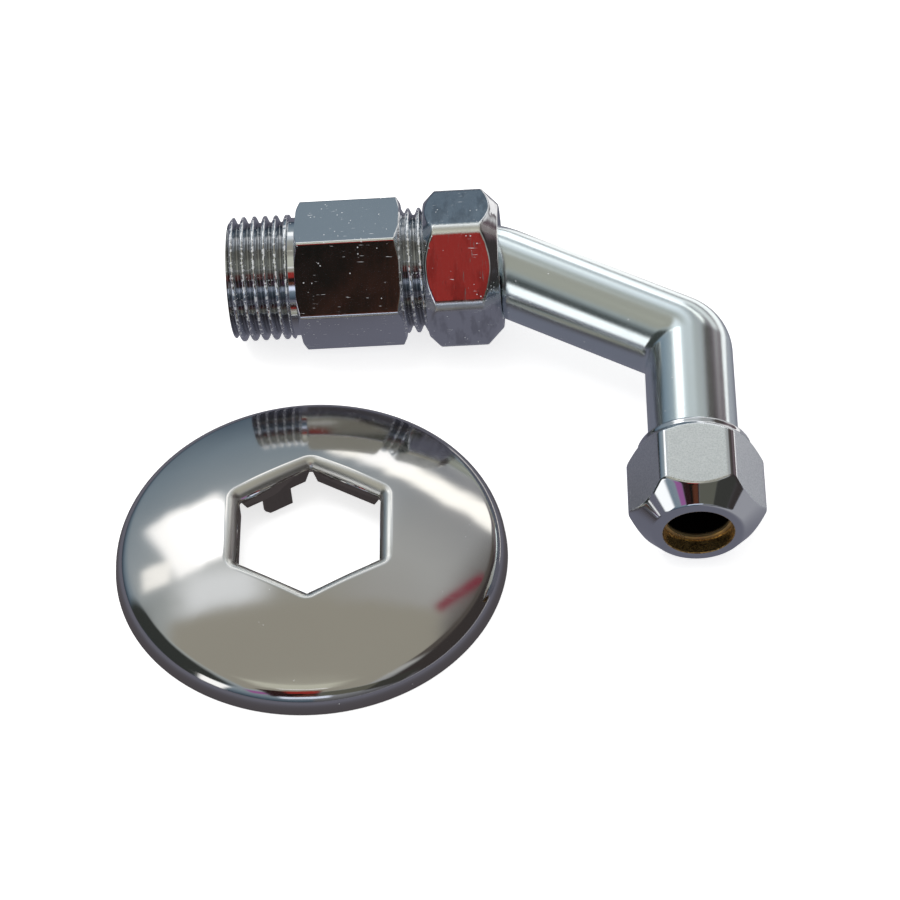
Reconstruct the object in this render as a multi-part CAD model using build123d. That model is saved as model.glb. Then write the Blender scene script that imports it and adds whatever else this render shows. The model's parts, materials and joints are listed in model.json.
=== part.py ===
from build123d import *
from math import cos, radians, sin, sqrt, tan
import os

# A chromed union elbow that joins a wall outlet to a 10 mm pipe, lying on a
# table beside its loose wall rosette. All sizes in millimetres.

# Frame: +Z up, the table at Z = 0, +X along the wall thread towards the union,
# -Y towards the compression end. The origin is under the middle of the model.

# Pipe thread, half inch, used at both ends of the nipple
THREAD_MAJOR = 20.955
THREAD_PITCH = 1.814
THREAD_DEPTH = 1.162
THREAD_PLAY = 0.04

# Wall nipple, along its own axis from the wall end
WALL_THREAD_LENGTH = 10.16
WALL_FIRST_RIDGE = 1.13
NECK_STEP = 0.58
NECK_LENGTH = 1.4
NIPPLE_HEX_RISE = 0.37
NIPPLE_HEX_LENGTH = 17.3
NIPPLE_HEX_CORNER = 0.3
NIPPLE_HEX_CHAMFER = 0.55
NIPPLE_HEX_FACING = 46.0
UNION_THREAD_LENGTH = 7.5
UNION_FIRST_RIDGE = 1.76
NIPPLE_BORE = 14.0

# Gasket between the nipple and the collar of the elbow
GASKET_THICKNESS = 1.5
GASKET_BORE = 13.0

# Union nut
UNION_GRIP_LENGTH = 3.5
UNION_NUT_LENGTH = 12.5
UNION_NUT_WALL = 1.08
UNION_NUT_CORNER = 1.7
UNION_NUT_FACE_WIDTH = 0.7
UNION_NUT_WEB = 1.5
UNION_MOUTH_RIM = 0.7
UNION_NUT_FACING = 50.9

# Pipe that the fitting takes
PIPE_DIAMETER = 10.0
PIPE_PLAY = 0.1
PIPE_STOP_STEP = 0.6
PIPE_SOCKET_DEPTH = 10.0

# Elbow body
BODY_WALL = 2.15
BODY_CLEARANCE = 0.2
COLLAR_CLEARANCE = 0.1
COLLAR_THICKNESS = 1.5
FIRST_BEND_ANGLE = 30.0
FIRST_BEND_RADIUS = 10.0
SLANT_LENGTH = 37.2
SECOND_BEND_ANGLE = 60.0
SECOND_BEND_RADIUS = 3.9
LEG_LENGTH = 38.1
BODY_THREAD_RISE = 0.25
BODY_THREAD_LENGTH = 8.0

# Compression nut
END_NUT_LENGTH = 16.2
END_NUT_WALL = 2.21
END_NUT_CORNER = 1.7
END_NUT_COLLAR_STEP = 0.55
END_NUT_COLLAR_LENGTH = 1.2
END_NUT_BACK_ANGLE = 45.0
END_NUT_FRONT_ANGLE = 43.0
END_NUT_HOLE_PLAY = 0.6
END_NUT_HOLE_DEPTH = 2.7
END_NUT_FACE_WIDTH = 1.6
END_NUT_RUN_OUT = 1.2
END_NUT_FACING = 88.0

# Olive, the brass ring that grips the pipe
OLIVE_END_WALL = 0.65
OLIVE_SWELL = 0.6
OLIVE_LENGTH = 7.0
OLIVE_CONE_LENGTH = 2.2
SEAT_CLEARANCE = 0.05

# Wall rosette, a pressed sheet that lies with its edge on the table
ROSETTE_DIAMETER = 63.1
ROSETTE_SHEET = 0.6
RIM_HEIGHT = 3.74
RIM_LEAN = 0.4
RIM_SHOULDER = 3.1
DOME_RISE = 6.06
HOLE_PLAY = 0.5
HOLE_CORNER = 0.8
LIP_RADIUS = 1.3
LIP_WALL = 1.0
LIP_DEPTH = 2.9
FLANGE_LENGTH = 2.0
FLANGE_GAP = 1.0
FLANGE_LEAN = 5.0
SPRING_TAB_WIDTH = 5.0
SPRING_TAB_FOOT = 1.6
SPRING_TAB_OFFSET = 0.1

# Where the rosette lies, from the point under the nipple's wall end
ROSETTE_X = 14.11
ROSETTE_Y = -52.3
ROSETTE_FACING = 0.3

# Diameters that follow from the thread and the pipe
thread_root = THREAD_MAJOR - 2 * THREAD_DEPTH
ridge_flat = THREAD_PITCH / 6
neck_diameter = THREAD_MAJOR - 2 * NECK_STEP
nipple_hex_flats = THREAD_MAJOR + 2 * NIPPLE_HEX_RISE
union_thread = THREAD_MAJOR + 2 * THREAD_PLAY
union_nut_flats = union_thread + 2 * UNION_NUT_WALL
collar_diameter = thread_root - 2 * COLLAR_CLEARANCE
pipe_socket = PIPE_DIAMETER + 2 * PIPE_PLAY
waterway = PIPE_DIAMETER - 2 * PIPE_STOP_STEP
body_diameter = pipe_socket + 2 * BODY_WALL
body_radius = body_diameter / 2
body_thread = body_diameter + 2 * BODY_THREAD_RISE
end_nut_thread = body_thread + 2 * THREAD_PLAY
end_nut_flats = end_nut_thread + 2 * END_NUT_WALL
end_nut_hole = PIPE_DIAMETER + 2 * END_NUT_HOLE_PLAY
end_nut_face = end_nut_hole + 2 * END_NUT_FACE_WIDTH
olive_end = pipe_socket + 2 * OLIVE_END_WALL
olive_middle = olive_end + 2 * OLIVE_SWELL
hole_flats = nipple_hex_flats + 2 * HOLE_PLAY

# Stations along the wall axis
hex_start = WALL_THREAD_LENGTH + NECK_LENGTH
hex_end = hex_start + NIPPLE_HEX_LENGTH
nipple_end = hex_end + UNION_THREAD_LENGTH
union_nut_start = nipple_end - UNION_GRIP_LENGTH
union_nut_end = union_nut_start + UNION_NUT_LENGTH
collar_start = nipple_end + GASKET_THICKNESS
web_start = collar_start + COLLAR_THICKNESS
web_end = web_start + UNION_NUT_WEB
first_tangent = FIRST_BEND_RADIUS * tan(radians(FIRST_BEND_ANGLE / 2))
first_corner = web_end + first_tangent

# Stations along the leg, from the corner of the second bend
second_tangent = SECOND_BEND_RADIUS * tan(radians(SECOND_BEND_ANGLE / 2))
end_nut_start = LEG_LENGTH - END_NUT_LENGTH
olive_front = LEG_LENGTH - END_NUT_HOLE_DEPTH - SEAT_CLEARANCE
olive_back = olive_front - OLIVE_LENGTH
body_end = olive_back + OLIVE_CONE_LENGTH - SEAT_CLEARANCE
socket_stop = body_end - PIPE_SOCKET_DEPTH

# The rosette's dome and the levels of its lip
dome_edge = ROSETTE_DIAMETER / 2 - RIM_LEAN
dome_radius = (dome_edge**2 + DOME_RISE**2) / (2 * DOME_RISE)
dome_height = RIM_HEIGHT + DOME_RISE
lip_bottom = dome_height - LIP_DEPTH
hole_tip = hole_flats / 2 / cos(radians(30))


def along(angle):
    """The direction in the fitting's own plane, turned down from +X."""
    return Vector(cos(radians(angle)), -sin(radians(angle)), 0)


slant_direction = along(FIRST_BEND_ANGLE)
leg_direction = along(FIRST_BEND_ANGLE + SECOND_BEND_ANGLE)
first_corner_point = Vector(first_corner, 0, 0)
second_corner_point = first_corner_point + slant_direction * SLANT_LENGTH
run_plane = Plane(origin=(0, 0, 0), x_dir=(0, 1, 0), z_dir=(1, 0, 0))
slant_plane = Plane(
    origin=first_corner_point,
    x_dir=slant_direction.cross(Vector(0, 0, 1)) * -1,
    z_dir=slant_direction,
)
leg_plane = Plane(
    origin=second_corner_point,
    x_dir=leg_direction.cross(Vector(0, 0, 1)) * -1,
    z_dir=leg_direction,
)


def lowest_tip(radius, facing):
    """Across and up places of a hexagon's lowest corner, one flat facing up."""
    corners = [radians(facing + 30 + 60 * step) for step in range(6)]
    lowest = min(corners, key=sin)
    return -radius * cos(lowest), radius * sin(lowest)


def turned(outline):
    """A turned solid about Z from its (radius, height) outline."""
    points = [(radius, 0, height) for radius, height in outline]
    face = make_face(Polyline(*points, close=True))
    return revolve(face, axis=Axis.Z)


def rod(diameter, start, end):
    """A plain cylinder along Z between two heights."""
    radius = diameter / 2
    return turned([(0, start), (radius, start), (radius, end), (0, end)])


def hexagon(flats, corner, start, end, turn):
    """A hexagonal bar along Z with rounded corners, one flat facing turn."""
    outline = RegularPolygon(flats / 2, 6, major_radius=False, rotation=turn + 30)
    outline = fillet(outline.vertices(), corner)
    return Pos(0, 0, start) * extrude(outline, end - start)


def hexagon_tip(flats, corner):
    """The radius of a hexagon's rounded corner."""
    return flats / 2 / cos(radians(30)) - corner * (1 / cos(radians(30)) - 1)


def thread_ridges(first, end, flat):
    """Outline points of a thread's ridges, as rings from the first crest's middle."""
    crest = THREAD_MAJOR / 2
    root = thread_root / 2
    foot = (THREAD_PITCH - ridge_flat) / 2
    points = []
    middle = first
    while middle - flat / 2 < end:
        points.append((root, middle - foot))
        points.append((crest, middle - flat / 2))
        if flat:
            points.append((crest, min(middle + flat / 2, end)))
        if middle + foot < end:
            points.append((root, middle + foot))
        middle += THREAD_PITCH
    return points


def make_wall_nipple():
    """Threaded nipple with its hexagon, bored right through."""
    root = thread_root / 2
    neck = neck_diameter / 2
    wall_side = thread_ridges(WALL_FIRST_RIDGE, WALL_THREAD_LENGTH, ridge_flat)
    union_side = thread_ridges(hex_end + UNION_FIRST_RIDGE, nipple_end - 2 * ridge_flat, 0)
    threads = turned(
        [(0, 0), (root, 0)]
        + wall_side
        + [(neck, WALL_THREAD_LENGTH), (neck, hex_end - ridge_flat), (root, hex_end - ridge_flat)]
        + union_side
        + [(root, nipple_end), (0, nipple_end)]
    )
    tip = hexagon_tip(nipple_hex_flats, NIPPLE_HEX_CORNER)
    cut = NIPPLE_HEX_CHAMFER
    envelope = turned(
        [
            (0, hex_start),
            (tip - 2 * cut, hex_start),
            (tip, hex_start + cut),
            (tip, hex_end - cut),
            (tip - 2 * cut, hex_end),
            (0, hex_end),
        ]
    )
    grip = hexagon(
        nipple_hex_flats, NIPPLE_HEX_CORNER, hex_start, hex_end, 180 - NIPPLE_HEX_FACING
    )
    return threads + (grip & envelope) - rod(NIPPLE_BORE, -1, nipple_end + 1)


def union_mouth_radius():
    """How far the nut's mouth opens to clear the bent body at its end face."""
    turn = radians(FIRST_BEND_ANGLE)
    inside = FIRST_BEND_RADIUS - body_radius
    drop = FIRST_BEND_RADIUS - inside * cos(turn)
    straight = union_nut_end - web_end - inside * sin(turn)
    return drop + straight * tan(turn) + BODY_CLEARANCE


def make_union_nut():
    """Union nut: threaded part, thin web that pulls on the collar, open mouth."""
    start = union_nut_start
    end = union_nut_end
    tip = hexagon_tip(union_nut_flats, UNION_NUT_CORNER)
    thread = union_thread / 2
    face = thread + UNION_NUT_FACE_WIDTH
    mouth = union_mouth_radius()
    rim = mouth + UNION_MOUTH_RIM
    envelope = turned(
        [
            (0, start),
            (face, start),
            (tip, start + tip - face),
            (tip, end - tip + rim),
            (rim, end),
            (0, end),
        ]
    )
    hole = body_radius + BODY_CLEARANCE
    inside = turned(
        [
            (0, start - 1),
            (thread, start - 1),
            (thread, web_start),
            (hole, web_start),
            (hole, web_end),
            (mouth, end),
            (mouth, end + 1),
            (0, end + 1),
        ]
    )
    block = hexagon(union_nut_flats, UNION_NUT_CORNER, start, end, 180 - UNION_NUT_FACING)
    return (block & envelope) - inside


def make_union_gasket():
    """Flat sealing ring between the nipple and the elbow's collar."""
    outer = collar_diameter / 2
    inner = GASKET_BORE / 2
    return turned(
        [
            (inner, nipple_end),
            (outer, nipple_end),
            (outer, collar_start),
            (inner, collar_start),
        ]
    )


def bend(plane, radius, angle, reach):
    """A bend that starts at the plane, turning towards its +X side."""
    outline = plane * (Circle(body_radius) & reach)
    pivot = Axis(plane.origin + plane.x_dir * radius, plane.y_dir)
    return revolve(outline, axis=pivot, revolution_arc=angle)


def make_elbow_outside():
    """The cast outside: collar, stub, two bends, slanted tube and leg."""
    stub = run_plane * rod(body_diameter, collar_start, web_end)
    collar = run_plane * rod(collar_diameter, collar_start, web_start)
    everything = Rectangle(4 * body_radius, 4 * body_radius)
    first_start = Plane(
        origin=(web_end, 0, 0), x_dir=(0, -1, 0), z_dir=(1, 0, 0)
    )
    first = bend(first_start, FIRST_BEND_RADIUS, FIRST_BEND_ANGLE, everything)
    slant_end = SLANT_LENGTH - second_tangent
    slant = slant_plane * rod(body_diameter, first_tangent, slant_end)
    second_start = Plane(
        origin=first_corner_point + slant_direction * slant_end,
        x_dir=along(FIRST_BEND_ANGLE + 90),
        z_dir=slant_direction,
    )
    outer_side = Pos(SECOND_BEND_RADIUS - 2 * body_radius, 0) * everything
    second = bend(
        second_start, SECOND_BEND_RADIUS, SECOND_BEND_ANGLE, outer_side
    )
    leg = leg_plane * rod(body_diameter, second_tangent, body_end)
    thread = leg_plane * rod(
        body_thread, body_end - BODY_THREAD_LENGTH, body_end
    )
    return stub + collar + first + slant + second + leg + thread


def make_elbow_bore():
    """The water way, drilled from both ends, with the pipe socket."""
    radius = waterway / 2
    run = run_plane * rod(waterway, collar_start - 1, first_corner)
    slant = slant_plane * rod(waterway, 0, SLANT_LENGTH)
    leg = leg_plane * rod(waterway, 0, body_end)
    knees = [
        Pos(first_corner_point) * Sphere(radius),
        Pos(second_corner_point) * Sphere(radius),
    ]
    seat = olive_end / 2 + SEAT_CLEARANCE
    mouth = seat + OLIVE_SWELL * (body_end - olive_back) / OLIVE_CONE_LENGTH
    socket = leg_plane * turned(
        [
            (0, socket_stop),
            (pipe_socket / 2, socket_stop),
            (pipe_socket / 2, olive_back - SEAT_CLEARANCE),
            (seat, olive_back - SEAT_CLEARANCE),
            (mouth, body_end),
            (mouth, body_end + 1),
            (0, body_end + 1),
        ]
    )
    return run + slant + leg + knees + socket


def make_elbow_body():
    """One casting: the outside less the water way and the pipe socket."""
    return make_elbow_outside() - make_elbow_bore()


def make_compression_nut():
    """Compression nut with a round back collar and a long front cone."""
    start = end_nut_start
    end = LEG_LENGTH
    tip = hexagon_tip(end_nut_flats, END_NUT_CORNER)
    back = end_nut_flats / 2 - END_NUT_COLLAR_STEP
    face = end_nut_face / 2
    cone_start = start + END_NUT_COLLAR_LENGTH
    back_cone = (tip - back) / tan(radians(END_NUT_BACK_ANGLE))
    front_cone = (tip - face) / tan(radians(END_NUT_FRONT_ANGLE))
    envelope = turned(
        [
            (0, cone_start),
            (back, cone_start),
            (tip, cone_start + back_cone),
            (tip, end - front_cone),
            (face, end),
            (0, end),
        ]
    )
    block = hexagon(end_nut_flats, END_NUT_CORNER, cone_start, end, END_NUT_FACING)
    collar = rod(2 * back, start, cone_start)
    thread = end_nut_thread / 2
    seat = olive_middle / 2 + SEAT_CLEARANCE
    nose = olive_end / 2 + SEAT_CLEARANCE
    nose_at = end - END_NUT_HOLE_DEPTH
    seat_at = nose_at - OLIVE_CONE_LENGTH
    hole = end_nut_hole / 2
    inside = turned(
        [
            (0, start - 1),
            (thread, start - 1),
            (thread, seat_at - END_NUT_RUN_OUT),
            (seat, seat_at),
            (nose, nose_at),
            (hole, nose_at),
            (hole, end + 1),
            (0, end + 1),
        ]
    )
    return (block & envelope) + collar - inside


def make_olive():
    """Barrel ring with a cone at each end."""
    bore = pipe_socket / 2
    end = olive_end / 2
    middle = olive_middle / 2
    return turned(
        [
            (bore, olive_back),
            (end, olive_back),
            (middle, olive_back + OLIVE_CONE_LENGTH),
            (middle, olive_front - OLIVE_CONE_LENGTH),
            (end, olive_front),
            (bore, olive_front),
        ]
    )


def dome_top(inset, reach):
    """Height of the dome's surface at a distance from its centre."""
    return dome_height - dome_radius + sqrt((dome_radius - inset) ** 2 - reach**2)


def dome_solid(inset):
    """The solid under a surface that lies inset below the dome's outside."""
    edge = ROSETTE_DIAMETER / 2 - inset
    shoulder = edge - RIM_LEAN
    foot = (0, 0, 0)
    crown = (0, 0, dome_top(inset, 0))
    corner = (shoulder, 0, dome_top(inset, shoulder))
    middle = (shoulder / 2, 0, dome_top(inset, shoulder / 2))
    outline = Line(foot, (edge, 0, 0))
    outline += Line((edge, 0, 0), corner)
    outline += ThreePointArc(corner, middle, crown)
    outline += Line(crown, foot)
    section = make_face(outline)
    shoulder_point = section.vertices().sort_by_distance(corner)[0]
    section = fillet(shoulder_point, RIM_SHOULDER + ROSETTE_SHEET - inset)
    return revolve(section, axis=Axis.Z)


def lip_plate(side, length, width, offset):
    """A plate that hangs from the lip on one side of the hole, leaning in."""
    overlap = ROSETTE_SHEET
    plate = Box(
        ROSETTE_SHEET,
        width,
        length + overlap,
        align=(Align.MIN, Align.CENTER, Align.MAX),
    )
    hang = Pos(hole_flats / 2, offset, lip_bottom + overlap)
    return Rot(0, 0, 60 * side) * hang * Rot(0, FLANGE_LEAN, 0) * plate


def make_wall_rosette():
    """Pressed dome with a hexagonal hole, turned-in flanges and spring tabs."""
    dome = dome_solid(0)
    shell = dome - dome_solid(ROSETTE_SHEET)
    top = dome_height + 1
    wall = hole_flats + 2 * LIP_WALL
    collar = hexagon(wall, HOLE_CORNER + LIP_WALL, lip_bottom, top, 0)
    hole = hexagon(hole_flats, HOLE_CORNER, -1, top, 0)
    sheet = shell + (collar & dome) - hole
    edge_band = dome_top(0, hole_tip) - SEAT_CLEARANCE
    near_hole = [
        edge
        for edge in sheet.edges()
        if edge_band < edge.center().Z < dome_height
    ]
    sheet = fillet(near_hole, LIP_RADIUS)
    side_length = hole_flats * tan(radians(30))
    tab_length = (lip_bottom - SPRING_TAB_FOOT) / cos(radians(FLANGE_LEAN))
    for side in range(6):
        sheet += lip_plate(side, FLANGE_LENGTH, side_length - 2 * FLANGE_GAP, 0)
    for side in (2, 5):
        sheet += lip_plate(side, tab_length, SPRING_TAB_WIDTH, -SPRING_TAB_OFFSET)
    return sheet


def make_fitting():
    """Every piece of the fitting, assembled about the wall axis along +X."""
    return {
        "wall_nipple": run_plane * make_wall_nipple(),
        "union_nut": run_plane * make_union_nut(),
        "union_gasket": run_plane * make_union_gasket(),
        "elbow_body": make_elbow_body(),
        "compression_nut": leg_plane * make_compression_nut(),
        "olive": leg_plane * make_olive(),
    }


def resting_plane():
    """The table's plane: it touches both hexagons' corners and the end nut."""
    nipple_tip = hexagon_tip(nipple_hex_flats, NIPPLE_HEX_CORNER)
    nut_tip = hexagon_tip(union_nut_flats, UNION_NUT_CORNER)
    nut_ridge = union_nut_start + nut_tip - union_thread / 2 - UNION_NUT_FACE_WIDTH
    nipple_foot = Vector(
        hex_start + NIPPLE_HEX_CHAMFER, *lowest_tip(nipple_tip, NIPPLE_HEX_FACING)
    )
    union_foot = Vector(nut_ridge, *lowest_tip(nut_tip, UNION_NUT_FACING))
    flat = end_nut_flats / 2
    cone = (flat - end_nut_face / 2) / tan(radians(END_NUT_FRONT_ANGLE))
    leg_foot = second_corner_point + leg_direction * (LEG_LENGTH - cone)
    leg_foot -= Vector(0, 0, flat)
    upward = (leg_foot - nipple_foot).cross(union_foot - nipple_foot)
    return Plane(origin=nipple_foot, x_dir=(1, 0, 0), z_dir=upward)


def lay_down(pieces):
    """The fitting at rest on the table, wall end above the origin."""
    to_table = resting_plane().location.inverse()
    wall_end = to_table * Location((0, 0, 0))
    shift = Vector(-wall_end.position.X, -wall_end.position.Y, 0)
    resting = {name: Pos(shift) * (to_table * piece) for name, piece in pieces.items()}
    lowest = min(piece.bounding_box().min.Z for piece in resting.values())
    return {name: Pos(0, 0, -lowest) * piece for name, piece in resting.items()}


def centre_on_footprint(pieces):
    """Every piece moved so that the origin is under the model's middle."""
    box = Compound(list(pieces.values())).bounding_box()
    shift = Vector(-box.center().X, -box.center().Y, 0)
    return {name: Pos(shift) * piece for name, piece in pieces.items()}


def build_model():
    """The fitting lying beside its rosette, in the finished frame."""
    pieces = lay_down(make_fitting())
    rosette_place = Pos(ROSETTE_X, ROSETTE_Y, 0) * Rot(0, 0, ROSETTE_FACING)
    pieces["wall_rosette"] = rosette_place * make_wall_rosette()
    return centre_on_footprint(pieces)


if __name__ == "__main__":
    os.makedirs("parts", exist_ok=True)
    for name, piece in build_model().items():
        export_step(piece, f"parts/{name}.step")
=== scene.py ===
import bmesh
import bpy
import json
import math
import numpy as np
from bpy.props import FloatProperty, FloatVectorProperty, PointerProperty
from bpy.types import Operator, Panel, PropertyGroup
from mathutils import Matrix, Vector


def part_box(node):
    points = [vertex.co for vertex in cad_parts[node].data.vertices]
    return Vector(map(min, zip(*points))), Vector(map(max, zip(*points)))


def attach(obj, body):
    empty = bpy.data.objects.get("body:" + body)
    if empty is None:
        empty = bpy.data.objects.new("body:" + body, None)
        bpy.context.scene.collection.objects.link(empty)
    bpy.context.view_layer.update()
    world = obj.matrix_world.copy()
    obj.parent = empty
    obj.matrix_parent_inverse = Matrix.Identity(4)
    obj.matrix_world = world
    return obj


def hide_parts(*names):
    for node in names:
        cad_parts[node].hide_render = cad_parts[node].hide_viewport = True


bl_info = {
    "name": "Chromed union elbow",
    "version": (1, 0, 0),
    "blender": (4, 5, 0),
    "location": "3D View > Sidebar > Elbow",
    "description": "Dresses a union elbow, its compression nut and its loose wall rosette",
    "category": "Object",
}

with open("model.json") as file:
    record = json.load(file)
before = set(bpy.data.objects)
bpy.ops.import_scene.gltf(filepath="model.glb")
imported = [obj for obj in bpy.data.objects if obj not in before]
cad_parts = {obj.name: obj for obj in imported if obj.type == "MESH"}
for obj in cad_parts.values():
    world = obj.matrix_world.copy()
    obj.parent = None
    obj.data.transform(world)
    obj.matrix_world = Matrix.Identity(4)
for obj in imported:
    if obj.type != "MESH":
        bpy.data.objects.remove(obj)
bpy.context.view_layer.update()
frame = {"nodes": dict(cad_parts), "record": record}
MOUNTS = {mount["name"]: mount for mount in frame["record"]["mounts"]}

MM = 0.001
TURN = 2 * math.pi
SIXTH = TURN / 6

# Where the two mounts sit along their axes, from the wall end and from the second bend's corner
THREAD_MOUNT_STATION = 5.5694 * MM
SOCKET_MOUNT_STATION = 27.925 * MM

# How finely a mesh follows its form
CORNER_STEPS = 10
FLAT_STEPS = 28
EDGE_STEPS = 5
TUBE_STEPS = 160
NUT_STEP = 0.16 * MM
THREAD_STEPS = 18
THINNED = 8
HOLE_SIDE_STEPS = 36
HOLE_CORNER_STEPS = 12
LIP_WALL_ROWS = 6
LIP_ROWS = 11
DOME_ROWS = 54
SHOULDER_ROWS = 25
RIM_ROWS = 6
INNER_SHOULDER_ROWS = 13
INNER_DOME_ROWS = 24

# Small roundings that are the same on every piece of their kind
NIPPLE_EDGE = 0.12 * MM
UNION_EDGE = 0.22 * MM
END_NUT_EDGE = 0.2 * MM
TUBE_EDGE = 0.15 * MM
RIM_EDGE = 0.15 * MM
PLATE_EDGE = 0.06 * MM
EDGE_BLUR = 0.01

# How softly a hexagon cuts a turned form, and how softly a thread's crest is rounded
GRIP_BLEND = 0.16 * MM
CREST_BLEND = 0.08 * MM

# How far the closer points reach to each side of a hexagon's edge
NIPPLE_CORNER_REACH = math.radians(2.2)
NUT_CORNER_REACH = math.radians(9)

# How near a point lies to a flat that counts as a part of it
FLAT_TOLERANCE = 0.02 * MM

# The elbow's two bends
FIRST_TURN = math.radians(30)
SECOND_TURN = math.radians(60)
CREASE_BLEND = 1.2 * MM

# Where the first plain ring in the pipe socket lies, from the second bend's corner
SOCKET_INSIDE = 27 * MM

# How far out the rosette's rows spread from its hexagonal hole to a round rim
SPREAD = 12 * MM


def length(name, description, millimetres):
    """A size that a user can change, written in millimetres."""
    return FloatProperty(
        name=name, description=description, default=millimetres * MM, unit="LENGTH", precision=5
    )


def turn(name, description, degrees):
    """An angle that a user can change, written in degrees."""
    return FloatProperty(
        name=name, description=description, default=math.radians(degrees), unit="ROTATION"
    )


def tone(name, description, red, green, blue):
    """A colour that a user can change, as light and not as a screen shows it."""
    return FloatVectorProperty(
        name=name,
        description=description,
        default=(red, green, blue),
        subtype="COLOR",
        size=3,
        min=0.0,
        soft_max=1.0,
    )


def share(name, description, value):
    """A part of one, such as a roughness."""
    return FloatProperty(name=name, description=description, default=value, min=0.0, max=1.0)


class ELBOW_PG_nipple(PropertyGroup):
    """Sizes of the threaded nipple."""

    thread: length("Thread", "Outside diameter of the pipe thread", 20.955)
    pitch: length("Pitch", "Distance from one turn of the thread to the next", 1.814)
    depth: length("Thread depth", "Height of the thread's ridge", 1.162)
    phase: share("Wall thread start", "Share of a turn where the wall thread starts", 0.256)
    union_phase: share("Union thread start", "Share of a turn where the other one starts", 0.516)
    wall_thread: length("Wall thread", "Length of the thread at the wall end", 10.16)
    neck: length("Neck diameter", "Diameter between the wall thread and the hexagon", 19.795)
    neck_length: length("Neck length", "Length of the plain neck", 1.4)
    flats: length("Hexagon", "Width across the flats", 21.695)
    hexagon: length("Hexagon length", "Length of the hexagon", 17.3)
    corner: length("Corner rounding", "Rounding of the hexagon's six edges", 0.3)
    chamfer: length("End chamfer", "How far the hexagon's corners are cut back", 0.55)
    facing: turn("Facing", "Which way one flat faces, up from the front", 46.0)
    union_thread: length("Union thread", "Length of the thread under the union nut", 7.5)
    bore: length("Bore", "Diameter of the water way", 14.0)
    lead: length("Lead", "Cone at each end of the thread", 0.8)


class ELBOW_PG_union(PropertyGroup):
    """Sizes of the union nut."""

    start: length("Start", "Distance from the wall end", 32.86)
    length: length("Length", "Length of the nut", 12.5)
    flats: length("Flats", "Width across the flats", 23.195)
    corner: length("Corner rounding", "Rounding of the six edges", 1.7)
    face: length("Back face", "Diameter of the face on the nipple's side", 22.435)
    rim: length("Front rim", "Diameter of the front rim", 20.64)
    mouth: length("Mouth", "Diameter of the hole that the elbow leaves by", 19.24)
    hole: length("Web hole", "Diameter of the hole in the web", 14.9)
    web_start: length("Web start", "Distance of the web from the wall end", 39.36)
    web: length("Web", "Thickness of the web", 1.5)
    thread: length("Thread", "Diameter of the nut's own thread", 21.035)
    facing: turn("Facing", "Which way one flat faces, up from the front", 50.9)


class ELBOW_PG_tube(PropertyGroup):
    """Sizes of the bent elbow body."""

    diameter: length("Tube", "Outside diameter of the tube", 14.5)
    bore: length("Water way", "Diameter of the water way", 8.8)
    collar: length("Collar", "Diameter of the collar in the union nut", 18.431)
    collar_start: length("Collar start", "Distance of the collar from the wall end", 37.86)
    collar_length: length("Collar length", "Thickness of the collar", 1.5)
    bend_start: length("Bend start", "Distance of the first bend from the wall end", 40.86)
    first_radius: length("First bend", "Radius of the first bend", 10.0)
    slant: length("Slant", "Length between the two corners", 37.2)
    second_radius: length("Second bend", "Radius of the second bend", 3.9)
    crease: length("Crease", "Rounding of the crease inside the second bend", 2.0)
    end: length("Leg", "Length of the leg from the second corner", 30.5)
    thread: length("Thread", "Diameter of the leg's thread", 15.0)
    thread_length: length("Thread length", "Length of the leg's thread", 8.0)
    socket: length("Socket", "Diameter of the pipe socket", 10.2)
    socket_stop: length("Pipe stop", "Where the pipe stops, from the second corner", 20.5)
    seat: length("Seat", "Diameter of the olive's seat at its narrow end", 11.6)
    seat_mouth: length("Seat mouth", "Diameter of the olive's seat at its mouth", 12.77)
    seat_start: length("Seat start", "Where the seat starts, from the second corner", 28.3)


class ELBOW_PG_end_nut(PropertyGroup):
    """Sizes of the compression nut."""

    start: length("Start", "Distance from the second corner", 21.9)
    length: length("Length", "Length of the nut", 16.2)
    flats: length("Flats", "Width across the flats", 19.5)
    corner: length("Corner rounding", "Rounding of the six edges", 1.7)
    collar: length("Collar", "Diameter of the round collar at the back", 18.4)
    collar_length: length("Collar length", "Length of the collar", 1.2)
    front_slope: turn("Front cone", "Slope of the front cone", 43.0)
    face: length("Face", "Diameter of the flat front face", 14.4)
    hole: length("Hole", "Diameter of the hole for the pipe", 11.2)
    hole_depth: length("Hole depth", "Depth of the hole for the pipe", 2.7)
    nose: length("Nose", "Diameter of the olive's seat at the hole", 11.6)
    seat: length("Seat", "Diameter of the olive's seat at its wide end", 12.8)
    seat_length: length("Seat length", "Length of the olive's seat", 2.2)
    run_out: length("Run out", "Length from the seat to the thread", 1.2)
    thread: length("Thread", "Diameter of the nut's own thread", 15.08)
    facing: turn("Facing", "Which way one flat faces, up from the right", 88.0)


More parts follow.
